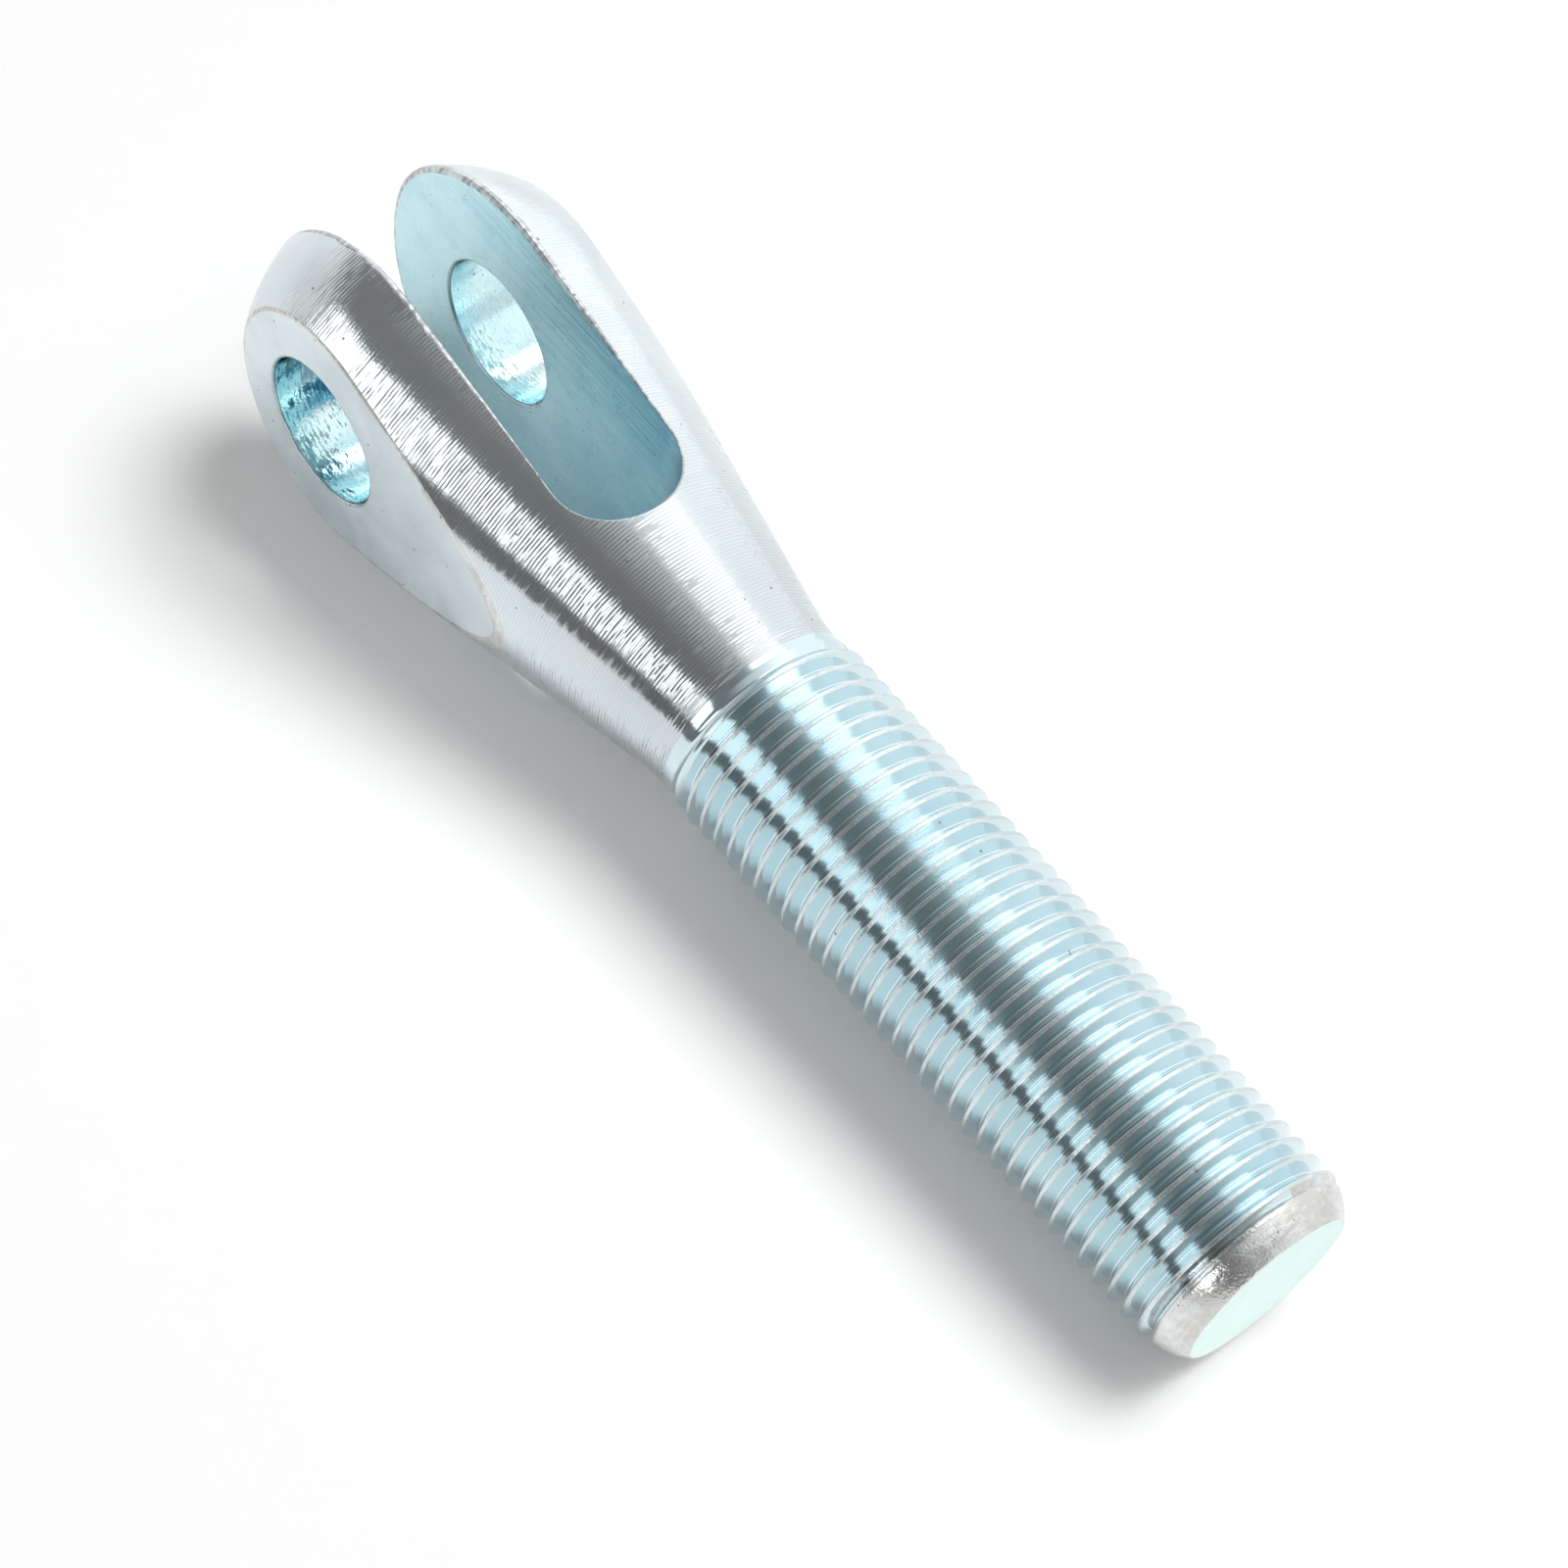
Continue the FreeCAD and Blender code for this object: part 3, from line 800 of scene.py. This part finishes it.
    # Tint: broad clouds of the plate, streaked by the tool lines and dark in the pits
    clouds = noiseAt(plateSizes["cloudScale"], detail=3.0)
    streaked = mathNode(tree, "MULTIPLY", tilt, plateSizes["cloudStreaks"])
    clouds = mathNode(tree, "ADD", clouds, streaked)
    spread = plateSizes["cloudSpread"]
    # Painted shade: the slot's tint darkens towards its bottom, to its second tint
    if "deeper" in look:
        paintedDepthShade = ramp(spot.outputs["X"], *look["deeper"], *plateSizes["deepTint"])
        clouds = mathNode(tree, "ADD", clouds, paintedDepthShade)
        spread = plateSizes["deepSpread"]
    mixed = addNode(tree, "ShaderNodeMix", data_type="RGBA")
    link(ramp(clouds, 0.5 - spread, 0.5 + spread), mixed.inputs["Factor"])
    colourA, colourB = [s for s in mixed.inputs if s.type == "RGBA"]
    colourA.default_value = (*look["tints"][0], 1)
    colourB.default_value = (*look["tints"][1], 1)
    tint = [s for s in mixed.outputs if s.type == "RGBA"][0]
    # Painted shade: towards the neck the tint is darkened, which dims the strip's highlight there
    if "grow" in look:
        paintedNeckShade = addNode(tree, "ShaderNodeVectorMath", "SCALE")
        link(tint, paintedNeckShade.inputs[0])
        link(ramp(spot.outputs["X"], *plateSizes["neckDim"]), paintedNeckShade.inputs["Scale"])
        tint = paintedNeckShade.outputs[0]
    darkened = addNode(tree, "ShaderNodeMix", data_type="RGBA")
    darkA, darkB = [s for s in darkened.inputs if s.type == "RGBA"]
    link(tint, darkA)
    darkB.default_value = (*plateSizes["pitColour"], 1)
    link(mathNode(tree, "MULTIPLY", pit, plateSizes["pitDark"]), darkened.inputs["Factor"])
    link([s for s in darkened.outputs if s.type == "RGBA"][0], shader.inputs["Base Color"])

    # Gloss: duller in patches and in the pits
    glossiest, dullest = [look["roughness"] * share for share in plateSizes["glossShare"]]
    gloss = ramp(noiseAt(plateSizes["glossScale"]), *plateSizes["glossNoise"], glossiest, dullest)
    if "fade" in look:
        duller = ramp(spot.outputs["X"], *look["fade"], plateSizes["fadedGloss"], 0.0)
        gloss = mathNode(tree, "ADD", gloss, duller)
    link(mathNode(tree, "MULTIPLY_ADD", pit, plateSizes["pitRough"], gloss), shader.inputs["Roughness"])

    tangent = mathNode(tree, "CROSS_PRODUCT", normal, axis, kind="ShaderNodeVectorMath")
    link(mathNode(tree, "NORMALIZE", tangent, kind="ShaderNodeVectorMath"), shader.inputs["Tangent"])
    return material


materials = {name: zincMaterial(name, look) for name, look in finishes.items()}
finishOrder = list(finishes)
wound = windThread(materials["thread"])
print("thread wound:", len(wound.polygons), "faces")
addThread(solid, wound)
addEndFace(solid)


def makePiece(solid, name):
    mesh = bpy.data.meshes.new(name)
    mesh.from_pydata([p * mm for p in solid.points], [], solid.faces)
    for finish in finishOrder:
        mesh.materials.append(materials[finish])
    mesh.polygons.foreach_set("material_index", [finishOrder.index(f) for f in solid.finishes])
    mesh.polygons.foreach_set("use_smooth", [True] * len(solid.faces))
    mesh.update()
    mesh.normals_split_custom_set_from_vertices([normal.normalized() for normal in solid.normals])
    piece = bpy.data.objects.new(name, mesh)
    bpy.context.scene.collection.objects.link(piece)
    return piece


clevis = makePiece(solid, "clevis_forging")
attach(clevis, "root")
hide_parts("clevis")
triangles = sum(len(polygon.vertices) - 2 for polygon in clevis.data.polygons)
print("clevis mesh:", len(clevis.data.vertices), "points,", triangles, "triangles")

# The part lies on the inner edges of its ears and on the end of its thread
setSizes = {
    "earTouch": (0.3, -13.24),  # along the rod and down, at the ears
    "threadTouch": (84.5, -7.85),
    "floorReach": 12000.0,
}
earX, earZ = setSizes["earTouch"]
threadX, threadZ = setSizes["threadTouch"]
rise = (threadZ - earZ) / (threadX - earX)
floorUp = Vector((-rise, 0, 1)).normalized()
floorAlong = Vector((1, 0, rise)).normalized()
floorAcross = floorUp.cross(floorAlong)
floorPoint = Vector((threadX, 0, threadZ)) * mm


# Matt paper or card, mottled between two shades. Its grain is the noise's waves to the metre.
def mattMaterial(name, sizes):
    material = bpy.data.materials.new(name)
    material.use_nodes = True
    tree = material.node_tree
    shader = tree.nodes["Principled BSDF"]
    shader.inputs["Roughness"].default_value = 0.9
    shader.inputs["Specular IOR Level"].default_value = 0.0
    coordinates = tree.nodes.new("ShaderNodeTexCoord").outputs["Object"]
    grain = tree.nodes.new("ShaderNodeTexNoise")
    grain.inputs["Scale"].default_value = sizes["grain"]
    tree.links.new(coordinates, grain.inputs["Vector"])
    shade = tree.nodes.new("ShaderNodeMapRange")
    shade.inputs["To Min"].default_value = sizes["shades"][0]
    shade.inputs["To Max"].default_value = sizes["shades"][1]
    tree.links.new(grain.outputs["Fac"], shade.inputs["Value"])
    tree.links.new(shade.outputs[0], shader.inputs["Base Color"])
    return material, shader, coordinates


paperSizes = {
    "grain": 900.0,
    "shades": (0.86, 0.9),
    "glow": (0.3, 2.0, 0.14, 1.0),  # from these distances in metres to these strengths
}


def paperMaterial():
    material, shader, coordinates = mattMaterial("white paper", paperSizes)
    tree = material.node_tree
    # A glow that only the camera, mirrors and glass see keeps far paper clean white, and it is weak
    # near the part, where the shadow lies
    light = tree.nodes.new("ShaderNodeLightPath").outputs
    seen = mathNode(tree, "MAXIMUM", light["Is Camera Ray"], light["Is Glossy Ray"])
    seen = mathNode(tree, "MAXIMUM", seen, light["Is Transmission Ray"])
    away = addNode(tree, "ShaderNodeVectorMath", "LENGTH")
    tree.links.new(coordinates, away.inputs[0])
    fill = tree.nodes.new("ShaderNodeMapRange")
    tree.links.new(away.outputs["Value"], fill.inputs["Value"])
    for socket, number in zip(fill.inputs[1:5], paperSizes["glow"]):
        socket.default_value = number
    glow = tree.nodes.new("ShaderNodeEmission")
    tree.links.new(mathNode(tree, "MULTIPLY", seen, fill.outputs[0]), glow.inputs["Strength"])
    both = tree.nodes.new("ShaderNodeAddShader")
    tree.links.new(shader.outputs[0], both.inputs[0])
    tree.links.new(glow.outputs[0], both.inputs[1])
    tree.links.new(both.outputs[0], tree.nodes["Material Output"].inputs["Surface"])
    return material


def makeFloor():
    reach = setSizes["floorReach"] * mm
    corners = []
    for along, across in ((-1, -1), (1, -1), (1, 1), (-1, 1)):
        corners.append(floorPoint + (floorAlong * along + floorAcross * across) * reach)
    mesh = bpy.data.meshes.new("paperFloor")
    mesh.from_pydata(corners, [], [(0, 1, 2, 3)])
    mesh.materials.append(paperMaterial())
    floor = bpy.data.objects.new("paperFloor", mesh)
    bpy.context.scene.collection.objects.link(floor)


makeFloor()
print("paper laid")

# The studio as the metal sees it: a dim room that brightens across the rod, panels of light, and a
# dark flag under the two strips. The strip lights the head and the threadStrip the thread. A panel
# faces the part from a bearing, from +X towards +Y, and a height, in degrees. Its sides lie that far
# from its middle, as tangents, and radiance adds to the room's.
roomSizes = {
    "darkSide": 0.21,
    "brightSide": 1.2,
    "darkUntil": -0.38,  # share of a direction that points across the rod
    "brightFrom": 0.85,
    "least": 0.05,  # no part of the room is darker
}
roomPanels = {
    "overhead": {
        "bearing": -90, "height": 90, "across": (-0.70, -0.15), "up": (0.09, 0.90),
        "edges": (0.09, 0.12), "radiance": 1.7,
    },
    "ceiling": {
        "bearing": -90, "height": 90, "across": (-0.04, 1.7), "up": (-0.42, 1.2),
        "edges": (0.10, 0.32), "radiance": 0.33,
    },
    "strip": {
        "bearing": -104, "height": 25, "across": (-0.50, 0.30), "up": (-0.25, 0.25),
        "edges": (0.05, 0.02), "radiance": 1.3,
    },
    "threadStrip": {
        "bearing": -104, "height": 25, "across": (0.82, 1.6), "up": (-0.25, 0.25),
        "edges": (0.05, 0.02), "radiance": 3.2,
    },
    "backWall": {
        "bearing": 178, "height": 8, "across": (-1.0, 1.0), "up": (-0.9, 0.45),
        "edges": (0.40, 0.30), "radiance": 0.55,
    },
    "flag": {
        "bearing": -120, "height": 4, "across": (-1.2, 1.2), "up": (-0.13, 0.13),
        "edges": (0.10, 0.03), "radiance": -0.04,
    },
}


def horizontal(bearing):
    angle = math.radians(bearing)
    return floorAlong * math.cos(angle) + floorAcross * math.sin(angle)


def makeRoom():
    world = bpy.data.worlds.new("studio room")
    world.use_nodes = True
    tree = world.node_tree
    link = tree.links.new
    direction = tree.nodes.new("ShaderNodeTexCoord").outputs["Generated"]

    def measure(axis):
        node = addNode(tree, "ShaderNodeVectorMath", "DOT_PRODUCT")
        link(direction, node.inputs[0])
        node.inputs[1].default_value = axis
        return node.outputs["Value"]

    def fade(value, low, high, darkest, brightest):
        node = addNode(tree, "ShaderNodeMapRange", interpolation_type="SMOOTHSTEP")
        link(value, node.inputs["Value"])
        for socket, number in zip(node.inputs[1:5], (low, high, darkest, brightest)):
            socket.default_value = number
        return node.outputs[0]

    # One inside the sides, with both edges as soft as edge says
    def between(value, sides, edge):
        middle = sum(sides) / 2
        half = (sides[1] - sides[0]) / 2
        off = mathNode(tree, "ABSOLUTE", mathNode(tree, "SUBTRACT", value, middle))
        return fade(off, half - edge, half + edge, 1.0, 0.0)

    total = fade(
        measure(floorAcross), roomSizes["darkUntil"], roomSizes["brightFrom"],
        roomSizes["darkSide"], roomSizes["brightSide"],
    )
    for panel in roomPanels.values():
        height = math.radians(panel["height"])
        facing = horizontal(panel["bearing"]) * math.cos(height) + floorUp * math.sin(height)
        over = floorUp * math.cos(height) - horizontal(panel["bearing"]) * math.sin(height)
        ahead = measure(facing)
        away = mathNode(tree, "MAXIMUM", ahead, 0.001)
        aside = mathNode(tree, "DIVIDE", measure(horizontal(panel["bearing"] + 90)), away)
        above = mathNode(tree, "DIVIDE", measure(over), away)
        acrossInside = between(aside, panel["across"], panel["edges"][0])
        upInside = between(above, panel["up"], panel["edges"][1])
        inside = mathNode(tree, "MULTIPLY", acrossInside, upInside)
        inside = mathNode(tree, "MULTIPLY", inside, mathNode(tree, "GREATER_THAN", ahead, 0.0))
        total = mathNode(tree, "MULTIPLY_ADD", inside, panel["radiance"], total)
    background = tree.nodes["Background"]
    background.inputs["Color"].default_value = (1.0, 1.0, 1.0, 1)
    link(mathNode(tree, "MAXIMUM", total, roomSizes["least"]), background.inputs["Strength"])
    world.cycles_visibility.diffuse = False
    bpy.context.scene.world = world


makeRoom()
print("room lit by", len(roomPanels), "panels, one of them dark")

# A dark grey card stands on the paper beside the part, where only the metal sees it
cardSizes = {
    "out": -160,  # across the rod
    "ends": (-260, 380),  # and along it
    "top": 14,
    "grain": 400.0,
    "shades": (0.20, 0.26),
}


def makeCard():
    low = floorUp.dot(floorPoint)
    corners = []
    for end in cardSizes["ends"]:
        for up in (low, cardSizes["top"] * mm):
            corners.append(floorAlong * end * mm + floorAcross * cardSizes["out"] * mm + floorUp * up)
    mesh = bpy.data.meshes.new("greyCard")
    mesh.from_pydata(corners, [], [(0, 1, 3, 2)])
    mesh.materials.append(mattMaterial("grey card", cardSizes)[0])
    card = bpy.data.objects.new("greyCard", mesh)
    bpy.context.scene.collection.objects.link(card)
    card.visible_camera = False
    card.visible_diffuse = False
    card.visible_shadow = False


makeCard()
print("card set up")

# The paper has its own soft lamps, so that its shadow can be set without touching the metal's lights.
# They stand away metres from a point a third down the rod.
paperLamps = {
    "left": {"bearing": 44, "height": 59, "away": 1.6, "size": 1.10, "light": 0.18},
    "right": {"bearing": 67, "height": 66, "away": 1.6, "size": 0.85, "light": 0.60},
    "broad": {"bearing": -60, "height": 82, "away": 1.6, "size": 3.40, "light": 0.56},
}


def makeLamp(name, sizes):
    lamp = bpy.data.lights.new(name, "AREA")
    lamp.shape = "DISK"
    lamp.size = sizes["size"]
    # light is what the paper gets, as a share of full white
    steep = math.sin(math.radians(sizes["height"]))
    lamp.energy = sizes["light"] * (math.pi * sizes["away"]) ** 2 / steep
    lampObject = bpy.data.objects.new(name, lamp)
    height = math.radians(sizes["height"])
    facing = horizontal(sizes["bearing"]) * math.cos(height) + floorUp * math.sin(height)
    side = horizontal(sizes["bearing"] + 90)
    turn = Matrix((side, facing.cross(side), facing)).transposed().to_4x4()
    middle = Vector((rodEnd / 3, 0, 0)) * mm
    lampObject.matrix_world = Matrix.Translation(middle + facing * sizes["away"]) @ turn
    lampObject.visible_glossy = False
    bpy.context.scene.collection.objects.link(lampObject)


for name, sizes in paperLamps.items():
    makeLamp(name, sizes)
print(len(paperLamps), "lamps over the paper")

# Camera placed by matching the photograph's outline: where it stands and where it looks
cameraSizes = {
    "place": (128.35, -107.52, 221.88),
    "right": (0.62571, 0.77095, 0.11886),
    "forward": (-0.33766, 0.40505, -0.84966),
    "lens": 91.095,
    "sensor": 36.0,
    "nearest": 0.01,  # in metres
}


def makeCamera():
    lens = bpy.data.cameras.new("camera")
    lens.sensor_width = cameraSizes["sensor"]
    lens.lens = cameraSizes["lens"]
    lens.clip_start = cameraSizes["nearest"]
    camera = bpy.data.objects.new("camera", lens)
    right = Vector(cameraSizes["right"]).normalized()
    back = -Vector(cameraSizes["forward"]).normalized()
    over = back.cross(right)
    turn = Matrix((right, over, back)).transposed().to_4x4()
    camera.matrix_world = Matrix.Translation(Vector(cameraSizes["place"]) * mm) @ turn
    bpy.context.scene.collection.objects.link(camera)
    bpy.context.scene.camera = camera


makeCamera()
bpy.context.scene.view_settings.view_transform = "Standard"
print("camera placed")
